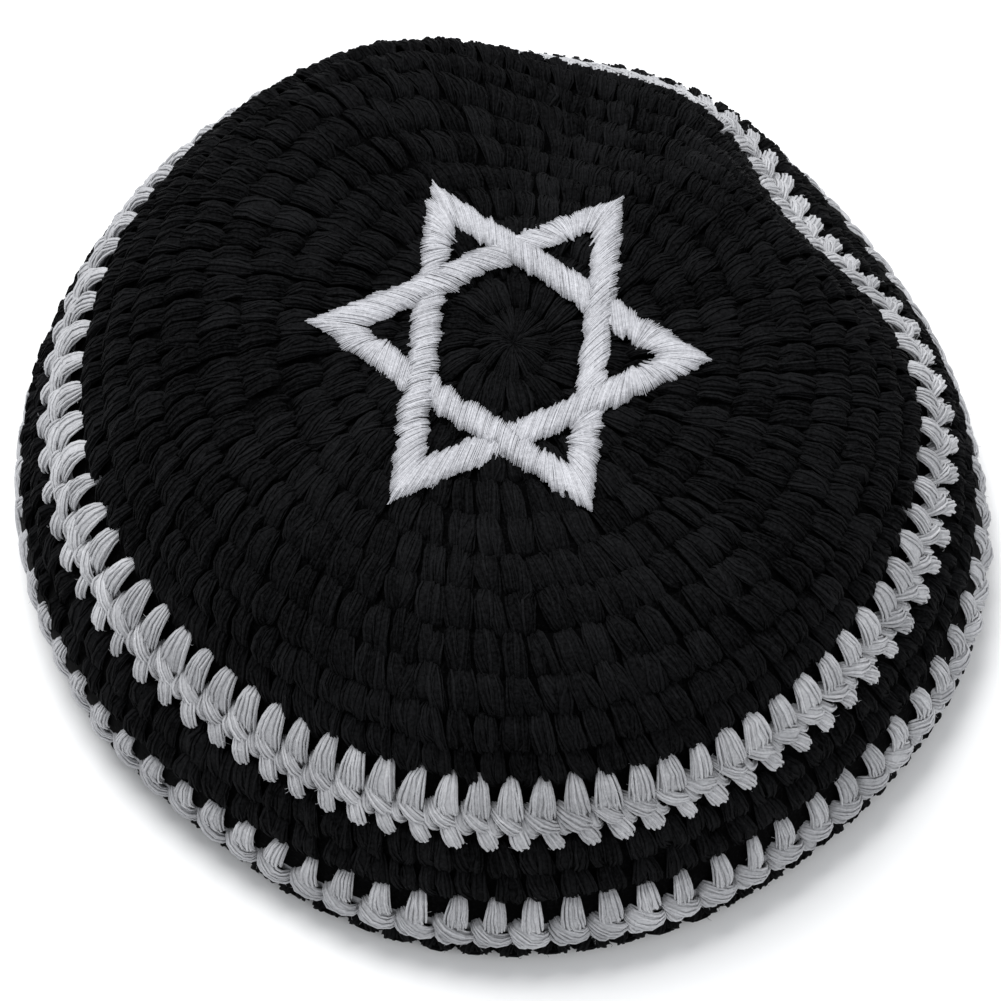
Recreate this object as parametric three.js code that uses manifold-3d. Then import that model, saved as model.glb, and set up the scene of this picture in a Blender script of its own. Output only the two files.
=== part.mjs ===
// A crocheted skullcap lying dome up on its rim, with a six-pointed star stitched on its crown.
// Millimetres, Z up. The rim's underside lies on Z = 0 and the cap is centred on the Z axis.
import * as THREE from 'three';
import Module from 'manifold-3d';

// Wall of the cap, right through the stitches, and the clearance between neighbouring pieces.
const WALL_THICKNESS = 4.0;
const SEAM_GAP = 0.36;

// The lying cap is a little longer from front to back than from side to side.
const OVAL_X = 1.004;
const OVAL_Y = 1.06;

// Rounds from the centre to the rim. Height is measured along the wall, slope is the fall of the
// wall below level at the middle of the round, and facets divides the round along the wall.
const CROWN_ROUND = 13.7;
const ROUNDS = [
  { node: 'crown', height: CROWN_ROUND, slope: -3, facets: 2 },
  { node: 'crown', height: CROWN_ROUND, slope: -4, facets: 2 },
  { node: 'crown', height: CROWN_ROUND, slope: -4, facets: 2 },
  { node: 'crown', height: CROWN_ROUND, slope: 1, facets: 3 },
  { node: 'crown', height: CROWN_ROUND, slope: 34, facets: 3 },
  { node: 'crown', height: CROWN_ROUND, slope: 64, facets: 3 },
  { node: 'upper_stripe', height: 13.5, slope: 67, facets: 3 },
  { node: 'band', height: 14.5, slope: 69, facets: 3 },
  { node: 'lower_stripe', height: 12.6, slope: 74, facets: 3 },
  { node: 'edge', height: 6.3, slope: 104, facets: 2 },
];

// Folds of the soft wall. Azimuth (degrees from +X towards +Y) and along (distance from the centre
// along the wall) place the middle of a fold, spread and reach are its half widths round the cap and
// along the wall, and inward and down are how far the wall moves there.
const FOLDS = [
  { name: 'right_back_dent', azimuth: 34.5, spread: 33, along: 78.5, reach: 25.5, inward: 13, down: 1.1 },
  { name: 'back_droop', azimuth: 79, spread: 28, along: 57, reach: 26.5, inward: 2.8, down: 16.7 },
  { name: 'left_bulge', azimuth: 173, spread: 73, along: 111, reach: 41.5, inward: -7.1, down: -2.3 },
  { name: 'right_bulge', azimuth: 343, spread: 46, along: 120, reach: 29, inward: -3.4, down: -4.3 },
  { name: 'front_tuck', azimuth: 229, spread: 44.5, along: 103, reach: 34, inward: 6.3, down: 2.9 },
  { name: 'front_bulge', azimuth: 223, spread: 51, along: 105, reach: 19, inward: -6.5, down: 0.6 },
];
const FOLD_FREE_CENTRE = 14;

// Star of two interlaced triangles. Each tip is placed on the cloth by its distance from the centre
// along the wall and its azimuth. Every second tip belongs to the same triangle.
const STAR_TIPS = [
  { distance: 38.5, azimuth: 57 },
  { distance: 36, azimuth: 115 },
  { distance: 36, azimuth: 176.5 },
  { distance: 38.5, azimuth: 236.5 },
  { distance: 36.5, azimuth: 292 },
  { distance: 36, azimuth: 352.5 },
];
const STAR_BAR_WIDTH = 4.8;
const STAR_THICKNESS = 1.1;
// A bar rises or sinks by the weave lift at its crossings, within this share of its length. One whole
// triangle is stitched a little higher than the other.
const STAR_WEAVE_LIFT = 0.3;
const STAR_CROSSING_SHARE = 0.09;
const STAR_TRIANGLE_LIFT = 0.1;
const STAR_BAR_STEPS = 10;

// Fineness of the faceting and of the profile's summation.
const AROUND = 72;
const PROFILE_STEP = 0.1;
const NORMAL_STEP = 0.05;

const COLOURS = {
  crown: 0x17181a,
  upper_stripe: 0xb8b8bb,
  band: 0x17181a,
  lower_stripe: 0xb8b8bb,
  edge: 0x17181a,
  star: 0xd6d7da,
};
const YARN_ROUGHNESS = 0.95;
const STAR_ROUGHNESS = 0.55;

const radians = THREE.MathUtils.degToRad;

// Rounds with the distance along the wall at which each one starts and ends.
const rounds = [];
let wallLength = 0;
for (const round of ROUNDS) {
  rounds.push({ ...round, start: wallLength, end: wallLength + round.height });
  wallLength += round.height;
}

// Slope of the wall at a distance along it, in straight steps between the middles of the rounds.
function slopeAt(along) {
  const knots = rounds.map((round) => ({ at: (round.start + round.end) / 2, slope: round.slope }));
  knots.unshift({ at: 0, slope: 0 });
  knots.push({ at: wallLength, slope: knots.at(-1).slope });
  const next = Math.max(1, knots.findIndex((knot) => knot.at >= along));
  const [a, b] = [knots[next - 1], knots[next]];
  const share = (along - a.at) / (b.at - a.at);
  return radians(THREE.MathUtils.lerp(a.slope, b.slope, share));
}

// Radius and fall of the undented wall, summed outward from the centre.
const profile = [{ radius: 0, fall: 0 }];
const profileSteps = Math.round(wallLength / PROFILE_STEP);
for (let i = 0; i < profileSteps; i += 1) {
  const slope = slopeAt(((i + 0.5) * wallLength) / profileSteps);
  const step = wallLength / profileSteps;
  const last = profile[i];
  profile.push({
    radius: last.radius + step * Math.cos(slope),
    fall: last.fall + step * Math.sin(slope),
  });
}
const capHeight = profile.at(-1).fall;

function profileAt(along) {
  const place = THREE.MathUtils.clamp((along / wallLength) * profileSteps, 0, profileSteps);
  const i = Math.min(Math.floor(place), profileSteps - 1);
  return {
    radius: THREE.MathUtils.lerp(profile[i].radius, profile[i + 1].radius, place - i),
    fall: THREE.MathUtils.lerp(profile[i].fall, profile[i + 1].fall, place - i),
  };
}

// How strongly a fold acts at a place on the cloth, from 0 to 1.
function foldStrength(fold, along, azimuth) {
  const turn = azimuth - radians(fold.azimuth);
  const nearest = Math.atan2(Math.sin(turn), Math.cos(turn));
  const around = (along * nearest) / fold.spread;
  const outward = (along - fold.along) / fold.reach;
  return Math.exp(-(around ** 2) - outward ** 2);
}

// Middle of the wall. What a fold moves down is given back towards the rim, which stays level.
function wallPoint(along, azimuth) {
  let { radius, fall } = profileAt(along);
  const centreFade = THREE.MathUtils.smoothstep(along, 0, FOLD_FREE_CENTRE);
  const rimShare = (along / wallLength) ** 2;
  for (const fold of FOLDS) {
    const here = foldStrength(fold, along, azimuth) * centreFade;
    const atRim = foldStrength(fold, wallLength, azimuth);
    radius -= fold.inward * here;
    fall += fold.down * (here - atRim * rimShare);
  }
  return new THREE.Vector3(
    OVAL_X * radius * Math.cos(azimuth),
    OVAL_Y * radius * Math.sin(azimuth),
    capHeight - fall,
  );
}

// Direction out of the wall, from the cloth's two directions there.
function wallNormal(along, azimuth) {
  const at = THREE.MathUtils.clamp(along, 2 * NORMAL_STEP, wallLength - NORMAL_STEP);
  const outward = wallPoint(at + NORMAL_STEP, azimuth).sub(wallPoint(at - NORMAL_STEP, azimuth));
  const turn = NORMAL_STEP / at;
  const sideways = wallPoint(at, azimuth + turn).sub(wallPoint(at, azimuth - turn));
  return outward.cross(sideways).normalize();
}

// A point at a height above the middle of the wall. The rim's underside is flat on Z = 0.
function clothPoint(along, azimuth, height) {
  if (along === 0) {
    return wallPoint(0, 0).add(new THREE.Vector3(0, 0, height));
  }
  const point = wallPoint(along, azimuth).addScaledVector(wallNormal(along, azimuth), height);
  if (along >= wallLength) {
    point.z = 0;
  }
  return point;
}

// A closed body swept anticlockwise through stations. Each station is a list of points that runs
// round the section. Points in the same place are one shared vertex, and each four-sided patch is
// split along its shorter diagonal.
function sweptGeometry(stations) {
  const positions = [];
  const numbers = new Map();
  const vertexOf = (point) => {
    const key = point.toArray().map((value) => value.toFixed(5)).join(' ');
    if (!numbers.has(key)) {
      numbers.set(key, positions.length / 3);
      positions.push(point.x, point.y, point.z);
    }
    return numbers.get(key);
  };
  const indexed = stations.map((station) => station.map(vertexOf));
  const triangles = [];
  const addTriangle = (a, b, c) => {
    if (a !== b && b !== c && c !== a) {
      triangles.push(a, b, c);
    }
  };
  indexed.forEach((here, i) => {
    const next = indexed[(i + 1) % indexed.length];
    here.forEach((a, j) => {
      const k = (j + 1) % here.length;
      const [b, c, d] = [here[k], next[k], next[j]];
      const straight = stations[i][j].distanceTo(stations[(i + 1) % stations.length][k]);
      const crossed = stations[i][k].distanceTo(stations[(i + 1) % stations.length][j]);
      if (straight <= crossed) {
        addTriangle(a, b, c);
        addTriangle(a, c, d);
      } else {
        addTriangle(a, b, d);
        addTriangle(b, c, d);
      }
    });
  });
  const geometry = new THREE.BufferGeometry();
  geometry.setAttribute('position', new THREE.Float32BufferAttribute(positions, 3));
  geometry.setIndex(triangles);
  return geometry;
}

// Wall of one node: its rounds' distances along the wall, out over the top and back underneath.
function wallGeometry(node) {
  const own = rounds.filter((round) => round.node === node);
  const [first, last] = [own[0].start, own.at(-1).end];
  const start = first === 0 ? 0 : first + SEAM_GAP / 2;
  const end = last === wallLength ? wallLength : last - SEAM_GAP / 2;
  const rows = [start];
  for (const round of own) {
    for (let i = 1; i <= round.facets; i += 1) {
      rows.push(Math.min(round.start + (round.height * i) / round.facets, end));
    }
  }
  const half = WALL_THICKNESS / 2;
  const section = [
    ...rows.map((along) => ({ along, height: half })),
    ...rows.toReversed().map((along) => ({ along, height: -half })),
  ];
  const stations = [];
  for (let i = 0; i < AROUND; i += 1) {
    const azimuth = (2 * Math.PI * i) / AROUND;
    stations.push(section.map(({ along, height }) => clothPoint(along, azimuth, height)));
  }
  return sweptGeometry(stations);
}

// Corners of a triangle moved inward by a bar's width. The corners run anticlockwise.
function insetCorners(corners, width) {
  return corners.map((corner, i) => {
    const toNext = corners[(i + 1) % 3].clone().sub(corner).normalize();
    const toLast = corners[(i + 2) % 3].clone().sub(corner).normalize();
    const halfAngle = Math.acos(toNext.dot(toLast)) / 2;
    const inward = toNext.add(toLast).normalize();
    return corner.clone().addScaledVector(inward, width / Math.sin(halfAngle));
  });
}

// Rise of a bar over the cloth: it dips under at its first crossing and passes over at its second.
function weaveLift(share) {
  const hump = (middle) => Math.exp(-(((share - middle) / STAR_CROSSING_SHARE) ** 2));
  return STAR_WEAVE_LIFT * (hump(2 / 3) - hump(1 / 3));
}

// One triangle of the star, laid on the crown.
function starTriangle(tips, lift) {
  const outer = tips.map(({ distance, azimuth }) => {
    return new THREE.Vector2(distance, 0).rotateAround(new THREE.Vector2(), radians(azimuth));
  });
  const inner = insetCorners(outer, STAR_BAR_WIDTH);
  const underside = WALL_THICKNESS / 2 + SEAM_GAP + lift;
  const laid = (flat, height) => clothPoint(flat.length(), flat.angle(), height);
  const stations = [];
  for (let side = 0; side < 3; side += 1) {
    const next = (side + 1) % 3;
    for (let i = 0; i < STAR_BAR_STEPS; i += 1) {
      const share = i / STAR_BAR_STEPS;
      const outside = outer[side].clone().lerp(outer[next], share);
      const inside = inner[side].clone().lerp(inner[next], share);
      const top = underside + STAR_THICKNESS + weaveLift(share);
      stations.push([
        laid(inside, top),
        laid(outside, top),
        laid(outside, underside),
        laid(inside, underside),
      ]);
    }
  }
  return sweptGeometry(stations);
}

// The two triangles joined into one body.
async function starGeometry() {
  const wasm = await Module();
  wasm.setup();
  const solidOf = (geometry) => {
    const vertProperties = geometry.getAttribute('position').array;
    const triVerts = new Uint32Array(geometry.getIndex().array);
    return new wasm.Manifold(new wasm.Mesh({ numProp: 3, vertProperties, triVerts }));
  };
  const [higher, lower] = [0, 1].map((turn) => STAR_TIPS.filter((_, i) => i % 2 === turn));
  const higherTriangle = solidOf(starTriangle(higher, STAR_TRIANGLE_LIFT));
  const mesh = higherTriangle.add(solidOf(starTriangle(lower, 0))).getMesh();
  const geometry = new THREE.BufferGeometry();
  geometry.setAttribute('position', new THREE.Float32BufferAttribute(mesh.vertProperties, 3));
  geometry.setIndex(Array.from(mesh.triVerts));
  return geometry;
}

function namedMesh(name, geometry, roughness) {
  const material = new THREE.MeshStandardMaterial({ color: COLOURS[name], roughness, metalness: 0 });
  const mesh = new THREE.Mesh(geometry, material);
  mesh.name = name;
  return mesh;
}

const cap = new THREE.Group();
const wallNodes = [...new Set(ROUNDS.map((round) => round.node))];
for (const node of wallNodes) {
  cap.add(namedMesh(node, wallGeometry(node), YARN_ROUGHNESS));
}
cap.add(namedMesh('star', await starGeometry(), STAR_ROUGHNESS));

// The folds make the cap lopsided, so it is moved to stand centred on the Z axis.
const middle = new THREE.Box3().setFromObject(cap).getCenter(new THREE.Vector3());
cap.position.set(-middle.x, -middle.y, 0);

export default cap;
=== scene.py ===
# %% [markdown]
# # A crocheted skullcap
# The frame gives the cap as plain walls: a crown, two stripes, a band, an edge and a star. A real one
# has no plain wall at all. It is one long yarn, pulled through itself in rounds, and its shape is the
# shape of some six hundred stitches. So this lesson keeps every wall where the frame puts it, and
# works yarn over it: first the cloth as a formula, then one strand, one stitch and one round.

# %% Load the frame and note its box
import math
from collections import namedtuple
import bpy
import numpy as np
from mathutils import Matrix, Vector


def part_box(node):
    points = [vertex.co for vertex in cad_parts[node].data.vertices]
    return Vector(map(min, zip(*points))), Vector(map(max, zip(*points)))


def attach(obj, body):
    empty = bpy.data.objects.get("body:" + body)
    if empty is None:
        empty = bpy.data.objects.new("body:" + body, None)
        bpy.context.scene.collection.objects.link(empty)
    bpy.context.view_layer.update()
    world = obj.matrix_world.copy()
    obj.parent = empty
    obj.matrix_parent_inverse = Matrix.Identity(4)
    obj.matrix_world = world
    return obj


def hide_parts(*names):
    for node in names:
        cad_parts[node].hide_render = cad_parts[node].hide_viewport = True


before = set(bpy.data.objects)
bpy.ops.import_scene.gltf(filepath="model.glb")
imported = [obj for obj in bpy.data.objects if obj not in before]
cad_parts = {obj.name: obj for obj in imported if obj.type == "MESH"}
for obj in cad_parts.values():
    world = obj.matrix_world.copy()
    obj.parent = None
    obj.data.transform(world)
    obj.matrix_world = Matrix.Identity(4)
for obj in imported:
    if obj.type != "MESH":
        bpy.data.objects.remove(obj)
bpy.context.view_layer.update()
bpy.ops.object.select_all(action="DESELECT")
MM = 0.001
print("nodes", sorted(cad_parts))

# %% [markdown]
# ## The cloth
# Every stitch has to follow the wall, dents and all. Snapping thousands of strands to a mesh would be
# slow, so the wall is written down as a formula instead. A place on the cloth is its distance from the
# centre along the wall, its azimuth and its height above the middle of the wall, all in millimetres
# and radians. The table of rounds gives the profile, and the table of folds pushes it in and down.

# %% The wall as a formula
Round = namedtuple("Round", "node height slope")
Fold = namedtuple("Fold", "azimuth spread along reach inward down")
CROWN_ROUND = 13.7
ROUNDS = (
    Round("crown", CROWN_ROUND, -3),
    Round("crown", CROWN_ROUND, -4),
    Round("crown", CROWN_ROUND, -4),
    Round("crown", CROWN_ROUND, 1),
    Round("crown", CROWN_ROUND, 34),
    Round("crown", CROWN_ROUND, 64),
    Round("upper_stripe", 13.5, 67),
    Round("band", 14.5, 69),
    Round("lower_stripe", 12.6, 74),
    Round("edge", 6.3, 104),
)
FOLDS = (
    Fold(azimuth=34.5, spread=33, along=78.5, reach=25.5, inward=13, down=1.1),
    Fold(azimuth=79, spread=28, along=57, reach=26.5, inward=2.8, down=16.7),
    Fold(azimuth=173, spread=73, along=111, reach=41.5, inward=-7.1, down=-2.3),
    Fold(azimuth=343, spread=46, along=120, reach=29, inward=-3.4, down=-4.3),
    Fold(azimuth=229, spread=44.5, along=103, reach=34, inward=6.3, down=2.9),
    Fold(azimuth=223, spread=51, along=105, reach=19, inward=-6.5, down=0.6),
)
FOLD_FREE_CENTRE = 14.0
OVAL = (1.004, 1.06)
WALL_THICKNESS = 4.0

round_edges = np.concatenate([[0], np.cumsum([row.height for row in ROUNDS])])
WALL_LENGTH = round_edges[-1]
slope_places = np.concatenate([[0], (round_edges[1:] + round_edges[:-1]) / 2, [WALL_LENGTH]])
slope_values = np.radians([0, *[row.slope for row in ROUNDS], ROUNDS[-1].slope])
profile_places = np.linspace(0, WALL_LENGTH, 1301)
profile_slopes = np.interp((profile_places[1:] + profile_places[:-1]) / 2, slope_places, slope_values)
profile_radius = np.concatenate([[0], np.cumsum(np.cos(profile_slopes) * np.diff(profile_places))])
profile_fall = np.concatenate([[0], np.cumsum(np.sin(profile_slopes) * np.diff(profile_places))])


def fold_strength(fold, along, azimuth):
    turn = (azimuth - math.radians(fold.azimuth) + np.pi) % (2 * np.pi) - np.pi
    return np.exp(-((along * turn / fold.spread) ** 2) - ((along - fold.along) / fold.reach) ** 2)


def wall(along, azimuth):
    """Middle of the wall, before it is moved to the frame's centre."""
    radius = np.interp(along, profile_places, profile_radius) + 0 * azimuth
    fall = np.interp(along, profile_places, profile_fall) + 0 * azimuth
    share = np.clip(along / FOLD_FREE_CENTRE, 0, 1)
    fade = share * share * (3 - 2 * share)
    for fold in FOLDS:
        here = fold_strength(fold, along, azimuth) * fade
        at_rim = fold_strength(fold, WALL_LENGTH, azimuth)
        radius = radius - fold.inward * here
        fall = fall + fold.down * (here - at_rim * (along / WALL_LENGTH) ** 2)
    x = OVAL[0] * radius * np.cos(azimuth)
    y = OVAL[1] * radius * np.sin(azimuth)
    return np.stack([x, y, profile_fall[-1] - fall], axis=-1)


def unit(vectors):
    return vectors / np.maximum(np.linalg.norm(vectors, axis=-1, keepdims=True), 1e-9)


NORMAL_STEP = 0.1


def wall_normal(along, azimuth):
    place = np.clip(along, 2 * NORMAL_STEP, WALL_LENGTH - NORMAL_STEP)
    outward = wall(place + NORMAL_STEP, azimuth) - wall(place - NORMAL_STEP, azimuth)
    turn = NORMAL_STEP / place
    sideways = wall(place, azimuth + turn) - wall(place, azimuth - turn)
    return unit(np.cross(outward, sideways))


grid_along, grid_azimuth = np.meshgrid(np.linspace(0, WALL_LENGTH, 200), np.linspace(0, 2 * np.pi, 361))
grid_normal = wall_normal(grid_along, grid_azimuth)
grid_outside = wall(grid_along, grid_azimuth) + grid_normal * WALL_THICKNESS / 2
grid_low = grid_outside.reshape(-1, 3).min(axis=0)
grid_high = grid_outside.reshape(-1, 3).max(axis=0)
CENTRE = np.array([*(grid_low + grid_high)[:2] / 2, 0])


def cloth(along, azimuth, height):
    """A point above the middle of the wall, and the direction out of the wall there."""
    normal = wall_normal(along, azimuth)
    return wall(along, azimuth) - CENTRE + normal * height[..., None], normal


cad_crown_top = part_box("crown")[1].z / MM
print("cloth top", round(float(grid_high[2]), 2), "mm, frame's crown top", round(cad_crown_top, 2), "mm")

# %% [markdown]
# ## One strand
# Cotton yarn is not a smooth hose. It is a bundle of thin strands laid side by side, and the fine lines
# that they draw are what the eye reads as cotton. One strand is a small tube with three or four sides.
# Thousands of them are needed, so a tube isn't modelled by hand: the points of all tubes are worked out
# together as one array, ring by ring, and become one mesh in a single step. Each tube is closed at both
# ends.

# %% Tubes from arrays
Strands = namedtuple("Strands", "points length tone")
# The cap's own weight presses the lowest strands flat on the floor.
FLOOR_GAP = 0.02


def tubes(path, side, up, radius, tone, sides):
    """Closed tubes round paths of shape (strands, rings, 3)."""
    turn = 2 * np.pi * np.arange(sides) / sides - np.pi / 2
    ring = side[:, :, None, :] * np.cos(turn)[:, None] + up[:, :, None, :] * np.sin(turn)[:, None]
    points = path[:, :, None, :] + radius[:, :, None, None] * ring
    points[..., 2] = np.maximum(points[..., 2], FLOOR_GAP)
    steps = np.linalg.norm(np.diff(path, axis=1), axis=-1)
    length = np.concatenate([np.zeros((len(path), 1)), np.cumsum(steps, axis=1)], axis=1)
    return Strands(points, length, tone)


def strand_faces(count, rings, sides, first):
    """Vertex numbers of the side faces and of both end faces of one set of tubes."""
    number = first + np.arange(count * rings * sides).reshape(count, rings, sides)
    beside = np.roll(number, -1, axis=2)
    quads = np.stack([number[:, :-1], number[:, 1:], beside[:, 1:], beside[:, :-1]], -1)
    return quads, number[:, 0], number[:, -1, ::-1]


# Neighbouring strands read the fibre pattern at places this far apart.
MAP_OFFSET = np.array([0.37, 2.59])


def strand_mesh(name, sets):
    """One mesh object from several sets of tubes, with a tone and a map along each strand."""
    corners = []
    sizes = []
    places = []
    tones = []
    maps = []
    first = 0
    for strands in sets:
        count, rings, sides, _ = strands.points.shape
        quads, start, end = strand_faces(count, rings, sides, first)
        across = np.arange(sides) / sides
        shape = (count, rings - 1, sides)
        low = np.broadcast_to(strands.length[:, :-1, None], shape)
        high = np.broadcast_to(strands.length[:, 1:, None], shape)
        left = np.broadcast_to(across, shape)
        right = left + 1 / sides
        offset = np.arange(count)[:, None] * MAP_OFFSET
        quad_map = np.stack([left, low, left, high, right, high, right, low], -1).reshape(*shape, 4, 2)
        quad_map = quad_map + offset[:, None, None, None, :]
        cap_map = np.broadcast_to(np.stack([across, 0 * across], -1), (count, sides, 2))
        corners += [quads.ravel(), start.ravel(), end.ravel()]
        sizes += [np.full(quads.size // 4, 4), np.full(2 * count, sides)]
        maps += [quad_map.reshape(-1, 2), cap_map.reshape(-1, 2), cap_map.reshape(-1, 2)]
        places.append(strands.points.reshape(-1, 3))
        tones.append(np.repeat(strands.tone, rings * sides))
        first += count * rings * sides
    sizes = np.concatenate(sizes)
    mesh = bpy.data.meshes.new(name)
    mesh.vertices.add(first)
    mesh.vertices.foreach_set("co", (np.concatenate(places) * MM).astype(np.float32).ravel())
    mesh.loops.add(int(sizes.sum()))
    mesh.loops.foreach_set("vertex_index", np.concatenate(corners).astype(np.int32))
    mesh.polygons.add(len(sizes))
    mesh.polygons.foreach_set("loop_start", (np.cumsum(sizes) - sizes).astype(np.int32))
    mesh.polygons.foreach_set("use_smooth", np.ones(len(sizes), bool))
    mesh.update(calc_edges=True)
    strand_map = np.concatenate(maps).astype(np.float32)
    mesh.uv_layers.new(name="strand").uv.foreach_set("vector", strand_map.ravel())
    tone = mesh.attributes.new("tone", "FLOAT", "POINT")
    tone.data.foreach_set("value", np.concatenate(tones).astype(np.float32))
    mesh.validate()
    piece = bpy.data.objects.new(name, mesh)
    bpy.context.collection.objects.link(piece)
    triangles = int((sizes - 2).sum())
    print(name, "strands", sum(len(strands.points) for strands in sets), "triangles", triangles)
    return piece


print("strands are pressed flat below", FLOOR_GAP, "mm")

# %% [markdown]
# ## One bundle of a stitch
# A hook makes every stitch in the same few moves, so a stitch is a short list of bundles: the legs of
# a leaf, the loop that lies across it, the tooth that shows below. Each bundle is a curve with four
# handles, given in stitch widths across, millimetres along the wall and millimetres above it. Strands
# lie round an oval about that curve and turn a little along it, as plied yarn does. A seeded generator
# moves each handle slightly, because no hand pulls two loops alike.

# %% Bundles laid on the cloth
# A bundle with a negative thickness bulges to the inside of the cap.
Bundle = namedtuple("Bundle", "path width thick strands turn")
Course = namedtuple("Course", "start count phase lean rings sides slack")
Slack = namedtuple("Slack", "place slope width turn waves radius tone")
LOOSE = Slack(place=(0.07, 0.55, 0.26), slope=0.22, width=0.18, turn=0.3, waves=0.22, radius=0.18, tone=0.5)
EVEN = Slack(place=(0.045, 0.3, 0.16), slope=0.05, width=0.12, turn=0.16, waves=0.08, radius=0.12, tone=0.4)
STRAND_RADIUS = 0.28
FULL_PITCH = 5.3
CORE_SIDES = 5
# Cores are the same yarn, toned lower than their strands: painted shade in the gaps between strands.
CORE_SHADE_TONE = -0.3
CORE_FILL = 0.94
STITCH_TONE = 0.35
TONE_LIMIT = 1.2
CENTRE_GAP = 0.3
RIM_GAP = 0.2
SMALLEST_SCALE = 0.3
END_SIZE = 0.55
SWELL = 0.45
# Stitches of the outside never come through to the inside.
LOWEST = -0.4
# Places where the stitches lie flatter: the stripes are pulled in behind the rounds above them.
PRESSES = (
    Fold(azimuth=84, spread=46, along=88, reach=9, inward=4.0, down=0),
    Fold(azimuth=76, spread=48, along=76, reach=7, inward=-1.3, down=0),
    Fold(azimuth=32, spread=105, along=115, reach=10, inward=3.0, down=0),
    Fold(azimuth=176, spread=85, along=117, reach=9, inward=2.5, down=0),
)


def curve_weights(handles, rings):
    share = np.linspace(0, 1, rings)[:, None]
    power = np.arange(handles)[None, :]
    ways = np.array([math.comb(handles - 1, k) for k in range(handles)])
    return ways * share**power * (1 - share) ** (handles - 1 - power)


def lay_bundle(bundle, course, tint, random):
    """A core and its strands for one bundle in every stitch of a round."""
    count, rings, slack = course.count, course.rings, course.slack
    handles = np.array(bundle.path, float)
    handles = handles + random.normal(0, 1, (count, *handles.shape)) * np.array(slack.place)
    local = np.einsum("rk,nkc->nrc", curve_weights(len(bundle.path), rings), handles)
    middle = handles[..., 1].mean(axis=1, keepdims=True)
    slope = random.normal(0, slack.slope, (count, 1))
    across = local[..., 0] + course.lean * (local[..., 1] / CROWN_ROUND - 0.5)
    across = across + slope * (local[..., 1] - middle) / CROWN_ROUND
    along = np.clip(course.start + local[..., 1], CENTRE_GAP, WALL_LENGTH - RIM_GAP)
    azimuth = 2 * np.pi * (np.arange(count)[:, None] + course.phase + across) / count
    height = local[..., 2]
    if bundle.thick > 0:
        press = sum(fold.inward * fold_strength(fold, along, azimuth) for fold in PRESSES)
        height = np.maximum(height - press, LOWEST)
    centre, normal = cloth(along, azimuth, height)
    tangent = unit(np.gradient(centre, axis=1))
    side = unit(np.cross(tangent, normal))
    up = np.cross(side, tangent)
    pitch = 2 * np.pi * np.interp(along, profile_places, profile_radius) / count
    scale = np.clip(pitch / FULL_PITCH, SMALLEST_SCALE, 1)
    share = np.linspace(0, 1, rings)
    taper = END_SIZE + SWELL * np.sin(np.pi * share) ** 0.5
    spread = curve_weights(3, rings) @ np.array(bundle.width)
    half_width = spread * scale * (1 + random.normal(0, slack.width, (count, 1))) / 2
    half_thick = bundle.thick / 2 * np.sqrt(scale) * taper
    wide = side * half_width[..., None]
    high = up * half_thick[..., None]
    fill = np.full((count, rings), CORE_FILL)
    # The core's lower tone paints shade between the strands.
    sets = [tubes(centre, wide, high, fill, tint + CORE_SHADE_TONE, CORE_SIDES)]
    for start_angle in np.radians(np.linspace(0, 180, bundle.strands)):
        wobble = random.normal(0, slack.turn, (count, 1)) + random.normal(0, slack.waves, (count, rings))
        angle = (start_angle + math.radians(bundle.turn) * (share - 0.5) + wobble)[..., None]
        radius = STRAND_RADIUS * np.sqrt(scale) * taper * (1 + random.normal(0, slack.radius, (count, 1)))
        tone = np.clip(tint + random.normal(0, slack.tone, count), -TONE_LIMIT, TONE_LIMIT)
        path = centre + wide * np.cos(angle) + high * np.sin(angle)
        sets.append(tubes(path, side, up, radius, tone, course.sides))
    return sets


def lay_round(stitch, course, seed):
    random = np.random.default_rng(seed)
    tint = random.normal(0, STITCH_TONE, course.count)
    sets = []
    for bundle in stitch:
        sets += lay_bundle(bundle, course, tint, random)
    return sets


print("strand", 2 * STRAND_RADIUS, "mm thick, places where stitches lie flatter", len(PRESSES))

# %% [markdown]
# ## Loose fibres
# Cotton is short fibres twisted together, and some always work loose. They stand off the strands as a
# thin fuzz, which is why yarn has no crisp outline. Each is a bent hair with three sides and two
# lengths, rooted on a random strand.

# %% Fuzz
FIBRE_RADIUS = 0.028
FIBRE_LENGTH = (0.4, 1.2)
FIBRE_TONE = (0.6, 0.4)
FIBRE_SIDES = 3
FIRST_BEND = 0.7
SECOND_BEND = 0.8


def fuzz(sets, per_strand, seed):
    random = np.random.default_rng(seed)
    roots = []
    outward = []
    for strands in sets:
        count, rings, sides, _ = strands.points.shape
        picked = np.flatnonzero(random.random(count) < per_strand)
        ring = random.integers(1, rings - 1, len(picked))
        root = strands.points[picked, ring, random.integers(0, sides, len(picked))]
        roots.append(root)
        outward.append(root - strands.points[picked, ring].mean(axis=1))
    root = np.concatenate(roots)
    out = unit(np.concatenate(outward))
    first = unit(out + random.normal(0, FIRST_BEND, out.shape))
    second = unit(first + random.normal(0, SECOND_BEND, out.shape))
    length = random.uniform(*FIBRE_LENGTH, (len(root), 1)) / 2
    path = np.stack([root, root + first * length, root + (first + second) * length], axis=1)
    tangent = unit(np.gradient(path, axis=1))
    side = unit(np.cross(tangent, unit(random.normal(0, 1, out.shape))[:, None, :]))
    radius = np.full(path.shape[:2], FIBRE_RADIUS)
    tone = random.normal(*FIBRE_TONE, len(root))
    return [tubes(path, side, np.cross(side, tangent), radius, tone, FIBRE_SIDES)]


print("fibre", 2 * FIBRE_RADIUS, "mm thick")

# %% [markdown]
# ## Something behind the yarn
# Between strands one looks into the cloth, never through it. A thin wall behind the stitches stops
# the light, as the yarn of the same stitch does on the real cap. It starts as a grid: one side of the
# grid runs round the cap and the other along the wall. The grid's points are moved to the cloth, the
# seam is merged, and Solidify gives it a thickness.

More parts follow.
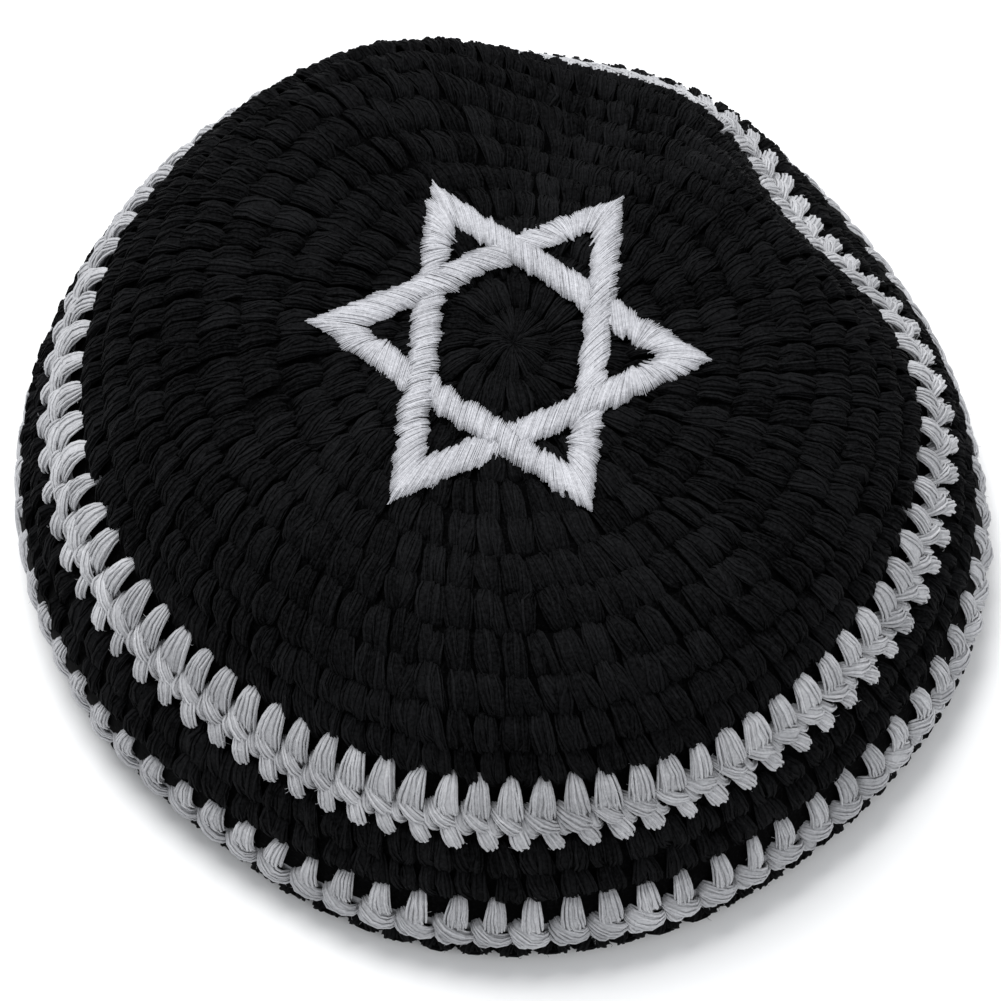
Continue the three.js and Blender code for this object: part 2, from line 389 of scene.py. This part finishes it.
# %% Backing walls
BACKING_THICKNESS = 1.2
BACKING_HEIGHT = -0.5
BACKING_AROUND = 120
BACKING_ROW = 3
# The backing's tone lies far below any strand's, so the grooves between stitches are painted dark: painted
# shade.
GAP_SHADE_TONE = -2.0


def backing(name, start, end):
    rows = max(3, round((end - start) / BACKING_ROW))
    bpy.ops.object.select_all(action="DESELECT")
    bpy.ops.mesh.primitive_grid_add(x_subdivisions=BACKING_AROUND, y_subdivisions=rows, size=1)
    piece = bpy.context.object
    piece.name = name
    places = np.zeros(len(piece.data.vertices) * 3)
    piece.data.vertices.foreach_get("co", places)
    places = places.reshape(-1, 3) + 0.5
    azimuth = 2 * np.pi * places[:, 0]
    along = start + (end - start) * places[:, 1]
    points, _ = cloth(along, azimuth, 0 * along + BACKING_HEIGHT)
    piece.data.vertices.foreach_set("co", (points * MM).ravel())
    bpy.ops.object.mode_set(mode="EDIT")
    bpy.ops.mesh.select_all(action="SELECT")
    bpy.ops.mesh.remove_doubles(threshold=0.01 * MM)
    bpy.ops.mesh.normals_make_consistent(inside=False)
    bpy.ops.object.mode_set(mode="OBJECT")
    bpy.ops.object.shade_smooth()
    thickness = piece.modifiers.new("thickness", "SOLIDIFY")
    thickness.thickness = BACKING_THICKNESS * MM
    thickness.offset = 0
    bpy.ops.object.modifier_apply(modifier=thickness.name)
    # A very low tone paints shade into the grooves where the backing shows between stitches.
    tone = piece.data.attributes.new("tone", "FLOAT", "POINT")
    tone.data.foreach_set("value", np.full(len(piece.data.vertices), GAP_SHADE_TONE))
    return piece


def joined(name, *pieces):
    """The pieces as one object with one mesh."""
    bpy.ops.object.select_all(action="DESELECT")
    for piece in pieces:
        piece.select_set(True)
    bpy.context.view_layer.objects.active = pieces[0]
    bpy.ops.object.join()
    pieces[0].name = name
    pieces[0].data.name = name
    return pieces[0]


print("backing", BACKING_THICKNESS, "mm thick,", BACKING_AROUND, "faces round")

# %% [markdown]
# ## The crown
# Six rounds of double crochet, fifteen stitches more in each. A double crochet is tall: the hook draws
# two pairs of loops, so a post shows two leaves one above the other, and the posts lean the way the
# work went round. Between two rounds the yarn dives, which draws the dark rings. Both sides of the
# cloth show posts, so a plainer set is laid inside too.

# %% Rounds of double crochet


def mirrored(bundle, shift):
    """The other leg of a pair, slightly further along the wall."""
    path = tuple((-across, along + shift, height) for across, along, height in bundle.path)
    return bundle._replace(path=path, turn=-bundle.turn)


FIRST_LEAF = Bundle(
    path=((-0.06, -0.6, -1.2), (-0.19, -0.2, 2.3), (-0.25, 5.6, 2.3), (-0.16, 7.6, -1.2)),
    width=(2.1, 3.4, 2.2),
    thick=1.7,
    strands=6,
    turn=80,
)
SECOND_LEAF = FIRST_LEAF._replace(
    path=((-0.08, 6.2, -1.2), (-0.19, 6.6, 2.4), (-0.25, 12.6, 2.2), (-0.16, 14.2, -1.4)),
)
DOUBLE_CROCHET = (FIRST_LEAF, mirrored(FIRST_LEAF, 0.4), SECOND_LEAF, mirrored(SECOND_LEAF, 0.3))
FIRST_POST = Bundle(
    path=((0.0, -0.4, -0.5), (0.1, 1.2, -2.2), (-0.1, 5.8, -2.2), (0.0, 7.6, -0.5)),
    width=(1.8, 3.9, 2.0),
    thick=-1.4,
    strands=2,
    turn=60,
)
SECOND_POST = FIRST_POST._replace(
    path=((0.0, 6.0, -0.5), (0.1, 7.6, -2.2), (-0.1, 12.4, -2.2), (0.0, 14.1, -0.5)),
)
INSIDE_POST = (FIRST_POST, SECOND_POST)
CROWN_ROUNDS = 6
INCREASE = 15
UNDER_TIPS = 6.0
LEAN = 0.55
PHASE_STEP = 0.3
BLACK_SIDES = 3
BLACK_FUZZ = 0.15
OUTSIDE_RINGS = 6
INSIDE_RINGS = 4
CENTRE_HOLE = 0.05
CROWN_FUZZ_SEED = 10
CROWN_POST_SEED = 20


def crown_course(number, lean, rings):
    start = round_edges[number - 1]
    return Course(start, INCREASE * number, PHASE_STEP * number, lean, rings, BLACK_SIDES, LOOSE)


def crown_rounds(name, first, last, under):
    sets = []
    for number in range(first, last + 1):
        sets += lay_round(DOUBLE_CROCHET, crown_course(number, LEAN, OUTSIDE_RINGS), number)
    sets += fuzz(sets, BLACK_FUZZ, CROWN_FUZZ_SEED + first)
    yarn = strand_mesh(name + "_yarn", sets)
    start = max(round_edges[first - 1], CENTRE_HOLE)
    return joined(name, backing(name, start, round_edges[last] + under), yarn)


def crown_inside(name):
    sets = []
    for number in range(1, CROWN_ROUNDS + 1):
        course = crown_course(number, -LEAN, INSIDE_RINGS)
        sets += lay_round(INSIDE_POST, course, CROWN_POST_SEED + number)
    return strand_mesh(name, sets)


crown_inner = crown_rounds("crown_inner_rounds", 1, 4, 0)
crown_outer = crown_rounds("crown_outer_rounds", 5, CROWN_ROUNDS, UNDER_TIPS)
crown_posts = crown_inside("crown_inside_posts")

# %% [markdown]
# ## The stripes
# Where the yarn changes to grey the stitches are low: a leaf that fans out from a tip in the black round
# above, a loop slung across below it with a small curl beside it, and a tooth of the loop's far side that
# pokes down between the next black stitches. The lower stripe is stretched by the rim, so its leaves are
# short and its loops fat. One table of bundles serves a whole round, because the hook repeats its moves.

# %% Grey stitches
GREY_LEAF = Bundle(
    path=((0.0, -1.5, -1.3), (0.03, -1.2, 2.7), (-0.05, 4.4, 2.7), (0.0, 8.4, 0.2)),
    width=(0.8, 5.0, 4.6),
    thick=2.1,
    strands=9,
    turn=25,
)
GREY_LOOP = Bundle(
    path=((-0.55, 5.0, -0.6), (-0.30, 5.9, 2.6), (0.12, 9.2, 2.7), (0.48, 10.4, 0.2)),
    width=(1.8, 3.7, 2.2),
    thick=1.7,
    strands=6,
    turn=60,
)
GREY_TOOTH = Bundle(
    path=((0.04, 8.6, 0.9), (0.30, 10.8, 2.5), (0.46, 13.5, 2.8), (0.38, 14.6, -1.4)),
    width=(2.3, 3.8, 1.5),
    thick=1.6,
    strands=5,
    turn=50,
)
GREY_CURL = Bundle(
    path=((-0.62, 6.8, -0.4), (-0.60, 8.4, 2.1), (-0.45, 10.6, 1.9), (-0.16, 11.2, -0.2)),
    width=(1.4, 2.2, 1.4),
    thick=1.3,
    strands=3,
    turn=50,
)
GREY_STITCH = (GREY_LEAF, GREY_LOOP, GREY_TOOTH, GREY_CURL)
SHORT_LEAF = GREY_LEAF._replace(
    path=((0.0, -0.9, -1.3), (0.02, -0.5, 2.7), (-0.02, 4.0, 2.5), (0.0, 7.2, 0.4)),
    width=(1.8, 4.2, 3.6),
    strands=8,
)
FAT_LOOP = Bundle(
    path=((-0.52, 5.4, -0.4), (-0.36, 6.2, 2.5), (0.14, 9.8, 2.6), (0.46, 9.4, -0.2)),
    width=(2.6, 5.2, 3.0),
    thick=1.9,
    strands=7,
    turn=55,
)
SMALL_LOOP = GREY_CURL._replace(
    path=((-0.55, 7.4, -0.6), (-0.50, 9.0, 2.0), (-0.30, 11.6, 1.8), (0.05, 11.8, -0.6)),
)
LOWER_GREY_STITCH = (SHORT_LEAF, FAT_LOOP, SMALL_LOOP)
print("bundles in a grey stitch", len(GREY_STITCH), "and in a lower one", len(LOWER_GREY_STITCH))

# %% [markdown]
# ## The rim and the inside
# The edge is a last low round that tucks under. Two short legs go under the grey loops, and a loop lies
# along the rim.
# Inside the cap a stitch is only a post, because the loops all lie on the outside, so one or two plain
# bundles stand for it.

# %% Edge stitches and the inside of the low rounds
EDGE_LEG = Bundle(
    path=((-0.05, -0.6, -0.8), (-0.24, 0.8, 1.6), (-0.32, 3.2, 1.6), (-0.20, 5.4, 0.0)),
    width=(1.6, 2.8, 2.0),
    thick=1.4,
    strands=4,
    turn=45,
)
RIM_LOOP = Bundle(
    path=((-0.60, 4.4, -0.8), (-0.30, 4.8, 1.4), (0.20, 5.2, 1.4), (0.55, 5.0, -0.8)),
    width=(1.4, 2.2, 1.4),
    thick=1.4,
    strands=4,
    turn=40,
)
EDGE_STITCH = (EDGE_LEG, mirrored(EDGE_LEG, 0), RIM_LOOP)
LOW_POST = FIRST_POST._replace(width=(2.2, 4.6, 2.2))
LOW_POST_END = LOW_POST._replace(
    path=((0.0, 5.6, -0.5), (0.1, 7.2, -2.2), (-0.1, 11.6, -2.2), (0.0, 13.4, -0.5)),
)
LOW_INSIDE = (LOW_POST, LOW_POST_END)
EDGE_POST = LOW_POST._replace(
    path=((0.0, -0.3, -0.4), (0.1, 1.0, -1.9), (-0.1, 4.4, -1.9), (0.0, 5.8, -0.3)),
)
print("bundles in an edge stitch", len(EDGE_STITCH))

# %% [markdown]
# ## Four low rounds
# Each round is laid the same way: the stitches, their loose fibres, the posts inside and the backing.
# Black shows between grey leaves and grey teeth, so the black backing reaches under both, and the grey
# one is only a narrow strip.

# %% Low rounds
LOW_COUNT = 84
RIM_COUNT = 78
UNDER_TEETH = 4.5
GREY_FUZZ = 0.7
RIM_TUCK = 0.4
LOW_SEED = 40
LOW_POST_SEED = 60
LOW_FUZZ_SEED = 80


def low_round(name, number, stitch, inside, course, back, fibres):
    start = round_edges[number]
    course = course._replace(start=start)
    sets = lay_round(stitch, course, LOW_SEED + number)
    sets += fuzz(sets, fibres, LOW_FUZZ_SEED + number)
    inside_course = course._replace(lean=0, rings=INSIDE_RINGS, sides=BLACK_SIDES)
    sets += lay_round(inside, inside_course, LOW_POST_SEED + number)
    yarn = strand_mesh(name + "_yarn", sets)
    end = min(round_edges[number + 1] + back[1], WALL_LENGTH - RIM_TUCK)
    return joined(name, backing(name, start + back[0], end), yarn)


GREY_COURSE = Course(start=0, count=LOW_COUNT, phase=0.0, lean=0.0, rings=7, sides=4, slack=EVEN)
LOWER_COURSE = GREY_COURSE._replace(count=RIM_COUNT, phase=0.1)
BAND_COURSE = Course(0, LOW_COUNT, phase=0.85, lean=0.3, rings=OUTSIDE_RINGS, sides=BLACK_SIDES, slack=LOOSE)
EDGE_COURSE = BAND_COURSE._replace(count=RIM_COUNT, phase=0.6, lean=0.0, slack=EVEN)
GREY_BACK = (UNDER_TIPS, -UNDER_TEETH)
BAND_BACK = (-UNDER_TEETH, UNDER_TIPS)
EDGE_BACK = (-UNDER_TEETH, 0)
upper_stripe = low_round("upper_stripe_round", 6, GREY_STITCH, LOW_INSIDE, GREY_COURSE, GREY_BACK, GREY_FUZZ)
band = low_round("band_round", 7, DOUBLE_CROCHET, LOW_INSIDE, BAND_COURSE, BAND_BACK, BLACK_FUZZ)
lower_stripe = low_round(
    "lower_stripe_round", 8, LOWER_GREY_STITCH, LOW_INSIDE, LOWER_COURSE, GREY_BACK, GREY_FUZZ
)
edge = low_round("edge_round", 9, EDGE_STITCH, (EDGE_POST,), EDGE_COURSE, EDGE_BACK, BLACK_FUZZ)

# %% [markdown]
# ## The star
# The star is satin stitch: hundreds of fine threads laid side by side across each bar, at a slant, with
# ends that are never quite level. Its two triangles are woven, so each bar dips under at one crossing
# and lies over at the next. One thread is again a small tube, and a bar is a row of them.

# %% Satin threads
Tip = namedtuple("Tip", "distance azimuth")
STAR_TIPS = (
    Tip(38.5, 57),
    Tip(36, 115),
    Tip(36, 176.5),
    Tip(38.5, 236.5),
    Tip(36.5, 292),
    Tip(36, 352.5),
)
# Shift of each bar's threads from the outer to the inner edge, along the bar, in mm.
BAR_SLANTS = ((-5.0, -2.0, -6.0), (-2.5, 5.0, -4.5))
TIP_SLANT = 8.5
TIP_SHARE = 0.2
TIP_FAN = 0.35
BAR_WIDTH = 5.0
OVERHANG = 0.15
GROUP_LENGTH = 1.1
GROUP_RAGGED = 0.4
THREAD_RAGGED = 0.18
THREAD_RADIUS = 0.15
THREAD_STEP = 0.165
THREAD_RINGS = 5
THREAD_SIDES = 4
STAR_HEIGHT = 2.8
EDGE_DROP = 0.8
ARCH = 0.85
THREAD_LIFT = 0.09
THREAD_TONE = 0.5
THREAD_PLACE = (0.1, 0.9)
THREAD_END = 0.6
THREAD_SWELL = 0.4
THREAD_UNEVEN = 0.1
STAR_SEED = 5
WEAVE_LIFT = 0.45
CROSSING_SHARE = 0.085


def flat_tip(tip):
    turn = math.radians(tip.azimuth)
    return np.array([tip.distance * math.cos(turn), tip.distance * math.sin(turn)])


def inset(corners, width):
    inner = []
    for i in range(3):
        to_next = unit(corners[(i + 1) % 3] - corners[i])
        to_last = unit(corners[(i + 2) % 3] - corners[i])
        half = math.acos(float(to_next @ to_last)) / 2
        inner.append(corners[i] + unit(to_next + to_last) * width / math.sin(half))
    return inner


def ragged(place, length, random):
    """Uneven ends: stitches of a few threads each, and a little more for every thread."""
    groups = random.normal(0, GROUP_RAGGED, int(length / GROUP_LENGTH) + 2)
    shared = np.interp(place * length / GROUP_LENGTH, np.arange(len(groups)), groups)
    return shared + random.normal(0, THREAD_RAGGED, len(place))


def crossing(bar_share, middle):
    """How near a place along the bar is to a crossing, from 0 to 1."""
    return np.exp(-(((bar_share - middle) / CROSSING_SHARE) ** 2))


def satin_bar(outer_a, outer_b, inner_a, inner_b, slant, random):
    """Threads across one bar. The inner end slides along the bar, which slants the thread."""
    length = np.linalg.norm(outer_b - outer_a)
    inner_length = np.linalg.norm(inner_b - inner_a)
    along_bar = (outer_b - outer_a) / length
    count = int(length / THREAD_STEP)
    place = (np.arange(count) + random.uniform(*THREAD_PLACE, count)) / count
    first = np.clip(1 - place / TIP_SHARE, 0, 1)
    last = np.clip(1 - (1 - place) / TIP_SHARE, 0, 1)
    slide = slant + (TIP_SLANT - slant) * first - (TIP_SLANT + slant) * last
    foot = place * length - (inner_a - outer_a) @ along_bar + slide
    foot = np.clip(foot, TIP_FAN * place * length, inner_length - TIP_FAN * (1 - place) * length)
    inner_place = foot[:, None] / inner_length
    outside = outer_a + (outer_b - outer_a) * place[:, None]
    inside = inner_a + (inner_b - inner_a) * inner_place
    across = unit(inside - outside)
    outside = outside - across * (OVERHANG + ragged(place, length, random))[:, None]
    inside = inside + across * (OVERHANG + ragged(place, length, random))[:, None]
    share = np.linspace(0, 1, THREAD_RINGS)
    flat = outside[:, None, :] + (inside - outside)[:, None, :] * share[:, None]
    bar_share = ((flat - outer_a) @ along_bar) / length
    weave = WEAVE_LIFT * (crossing(bar_share, 2 / 3) - crossing(bar_share, 1 / 3))
    arch = np.sin(np.pi * share) ** 0.5
    lift = random.normal(0, THREAD_LIFT, (count, 1))
    height = STAR_HEIGHT - EDGE_DROP + (ARCH + lift + weave) * arch
    distance = np.linalg.norm(flat, axis=-1)
    azimuth = np.arctan2(flat[..., 1], flat[..., 0])
    centre, normal = cloth(distance, azimuth, height)
    tangent = unit(np.gradient(centre, axis=1))
    side = unit(np.cross(tangent, normal))
    uneven = 1 + random.normal(0, THREAD_UNEVEN, (count, 1))
    radius = THREAD_RADIUS * (THREAD_END + THREAD_SWELL * arch) * uneven
    tone = np.clip(random.normal(0, THREAD_TONE, count), -1, 1)
    return tubes(centre, side, np.cross(side, tangent), radius, tone, THREAD_SIDES)


def star_threads():
    random = np.random.default_rng(STAR_SEED)
    sets = []
    for turn in (0, 1):
        outer = [flat_tip(tip) for tip in STAR_TIPS[turn::2]]
        inner = inset(outer, BAR_WIDTH)
        for i in range(3):
            k = (i + 1) % 3
            sets.append(satin_bar(outer[i], outer[k], inner[i], inner[k], BAR_SLANTS[turn][i], random))
    return strand_mesh("star_threads", sets)


star = star_threads()

# %% [markdown]
# ## Shader arithmetic
# A material's numbers come from nodes, and sums made of nodes are hard to read. This small class wraps
# a socket, so that plus, minus and times write the Math nodes.

# %% A socket that can be added and multiplied


class Shade:
    def __init__(self, tree, socket=None):
        self.tree = tree
        self.socket = socket

    def node(self, kind, settings, sockets, output=0):
        """Adds a node, sets it up, feeds its sockets and returns one output."""
        made = self.tree.nodes.new(kind)
        for name, setting in settings.items():
            setattr(made, name, setting)
        for name, value in sockets.items():
            if isinstance(value, Shade):
                self.tree.links.new(value.socket, made.inputs[name])
            else:
                made.inputs[name].default_value = value
        return Shade(self.tree, made.outputs[output])

    def feeds(self, shader, name):
        self.tree.links.new(self.socket, shader.inputs[name])

    def math(self, operation, first, second):
        return self.node("ShaderNodeMath", {"operation": operation}, {0: first, 1: second})

    def __add__(self, other):
        return self.math("ADD", self, other)

    def __radd__(self, other):
        return self.math("ADD", other, self)

    def __sub__(self, other):
        return self.math("SUBTRACT", self, other)

    def __rsub__(self, other):
        return self.math("SUBTRACT", other, self)

    def __mul__(self, other):
        return self.math("MULTIPLY", self, other)

    def __rmul__(self, other):
        return self.math("MULTIPLY", other, self)


print("a Shade can be added, subtracted and multiplied")

# %% [markdown]
# ## Yarn and thread finishes
# Cotton yarn is matt, and each strand takes the dye a little differently. The tone attribute gives
# every strand its own depth of colour, and the lower tones of the cores and the backing paint shade into
# the gaps between strands and stitches. A noise stretched along the strand draws its fibres, and a wide
# noise makes patches that are a touch more washed out. Embroidery thread has longer fibres, so it shines.

# %% Materials
Finish = namedtuple("Finish", "dark light roughness sheen specular patch lint")
LINT_SCALE = 1700
FIBRE_STRETCH = (5.0, 0.6, 1.0)
BUMP_DEPTH = 0.0003


def thread_material(name, finish):
    material = bpy.data.materials.new(name)
    material.use_nodes = True
    shader = material.node_tree.nodes["Principled BSDF"]
    board = Shade(material.node_tree)
    tone = board.node("ShaderNodeAttribute", {"attribute_name": "tone"}, {}, output="Fac")
    place = board.node("ShaderNodeUVMap", {"uv_map": "strand"}, {})
    stretched = board.node("ShaderNodeMapping", {}, {"Vector": place, "Scale": FIBRE_STRETCH})
    fibres = board.node("ShaderNodeTexNoise", {}, {"Vector": stretched, "Scale": 1.0, "Detail": 2.0})
    spot = board.node("ShaderNodeTexCoord", {}, {}, output="Object")
    patches = board.node("ShaderNodeTexNoise", {}, {"Vector": spot, "Scale": finish.patch, "Detail": 2.0})
    lint = board.node("ShaderNodeTexNoise", {}, {"Vector": spot, "Scale": LINT_SCALE, "Detail": 3.0})
    shade = 0.5 + 0.25 * tone + 0.5 * (fibres - 0.5) + 0.5 * (patches - 0.5) + finish.lint * (lint - 0.5)
    blend = {"Factor": shade, "A": (*finish.dark, 1), "B": (*finish.light, 1)}
    colour = board.node("ShaderNodeMix", {"data_type": "RGBA", "clamp_factor": True}, blend, output=2)
    colour.feeds(shader, "Base Color")
    gloss = finish.roughness + 0.2 * (fibres - 0.5)
    gloss.feeds(shader, "Roughness")
    relief = 0.6 * fibres + lint
    bump = board.node("ShaderNodeBump", {}, {"Strength": 0.5, "Distance": BUMP_DEPTH, "Height": relief})
    bump.feeds(shader, "Normal")
    shader.inputs["Sheen Weight"].default_value = finish.sheen
    shader.inputs["Sheen Roughness"].default_value = 0.5
    shader.inputs["Specular IOR Level"].default_value = finish.specular
    return material


BLACK = Finish((0.0004, 0.0004, 0.0005), (0.0098, 0.01, 0.0108), 0.8, 0.003, 0.02, 60, 1.5)
GREY = Finish((0.27, 0.272, 0.284), (0.56, 0.563, 0.58), 0.9, 0.1, 0.15, 60, 0.9)
SILVER = Finish((0.27, 0.272, 0.29), (0.6, 0.604, 0.635), 0.5, 0.05, 0.4, 90, 1.0)
black_yarn = thread_material("black_yarn", BLACK)
grey_yarn = thread_material("grey_yarn", GREY)
star_thread = thread_material("star_thread", SILVER)
print("materials", black_yarn.name, grey_yarn.name, star_thread.name)

# %% [markdown]
# ## Back to the frame
# The cap is one body, so every piece rides on the root. Each says which plain wall of the frame it stands
# for and which material slot it shows. The crown is three pieces, which keeps each mesh light.

# %% Pieces ride on the frame
PIECES = (
    (crown_inner, "crown", "black_yarn", black_yarn),
    (crown_outer, "crown", "black_yarn", black_yarn),
    (crown_posts, "crown", "black_yarn", black_yarn),
    (upper_stripe, "upper_stripe", "grey_yarn", grey_yarn),
    (band, "band", "black_yarn", black_yarn),
    (lower_stripe, "lower_stripe", "grey_yarn", grey_yarn),
    (edge, "edge", "black_yarn", black_yarn),
    (star, "star", "star_thread", star_thread),
)
total = 0
for piece, replaced, slot, material in PIECES:
    piece.data.materials.clear()
    piece.data.materials.append(material)
    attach(piece, "root")
    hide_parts(replaced)
    triangles = sum(len(face.vertices) - 2 for face in piece.data.polygons)
    total += triangles
    print(piece.name, triangles)
print("triangles in all", total)

# %% [markdown]
# ## Floor, light and camera
# A pale floor, a broad soft light from behind and to the left, as in a shop's light tent, and a long
# lens that looks down on the cap at sixty degrees.

# %% Studio
scene = bpy.context.scene
scene.view_settings.view_transform = "Standard"
bpy.ops.object.select_all(action="DESELECT")
bpy.ops.mesh.primitive_plane_add(size=4, location=(0, 0, 0))
floor = bpy.context.object
floor.name = "floor"
paper = bpy.data.materials.new("pale_floor")
paper.use_nodes = True
paper.node_tree.nodes["Principled BSDF"].inputs["Base Color"].default_value = (0.9, 0.9, 0.9, 1)
paper.node_tree.nodes["Principled BSDF"].inputs["Roughness"].default_value = 0.9
floor.data.materials.append(paper)

world = bpy.data.worlds.new("soft_room")
scene.world = world
world.use_nodes = True
world.node_tree.nodes["Background"].inputs["Color"].default_value = (0.95, 0.97, 1.0, 1)
world.node_tree.nodes["Background"].inputs["Strength"].default_value = 0.7

CAMERA_ELEVATION = math.radians(60)
CAMERA_DISTANCE = 0.7965
FRAME_WIDTH = 0.1772
AIM_RIGHT = -0.0021
AIM_UP = -0.0276
apex = np.array([-CENTRE[0], -CENTRE[1], profile_fall[-1]]) * MM
back = np.array([0, -math.cos(CAMERA_ELEVATION), math.sin(CAMERA_ELEVATION)])
rise = np.array([0, math.sin(CAMERA_ELEVATION), math.cos(CAMERA_ELEVATION)])
eye = apex + back * CAMERA_DISTANCE
aim = apex + np.array([AIM_RIGHT, 0, 0]) + rise * AIM_UP


def looks_at(thing, place, target):
    thing.location = Vector(place)
    thing.rotation_euler = (Vector(target) - Vector(place)).to_track_quat("-Z", "Y").to_euler()


def soft_light(name, place, size, power):
    data = bpy.data.lights.new(name, "AREA")
    data.shape = "DISK"
    data.size = size
    data.energy = power
    lamp = bpy.data.objects.new(name, data)
    bpy.context.collection.objects.link(lamp)
    looks_at(lamp, place, (0, 0, 0.03))


soft_light("window", (-0.35, 0.6, 1.6), 1.1, 30)
soft_light("fill", (0.9, -0.8, 1.1), 1.0, 4)

lens = bpy.data.cameras.new("photo_camera")
lens.sensor_width = 36
lens.lens = 36 * CAMERA_DISTANCE / FRAME_WIDTH
lens.clip_start = 0.01
camera = bpy.data.objects.new("photo_camera", lens)
bpy.context.collection.objects.link(camera)
looks_at(camera, eye, aim)
scene.camera = camera
print("camera", [round(float(part), 3) for part in eye], "lens", round(lens.lens, 1), "mm")
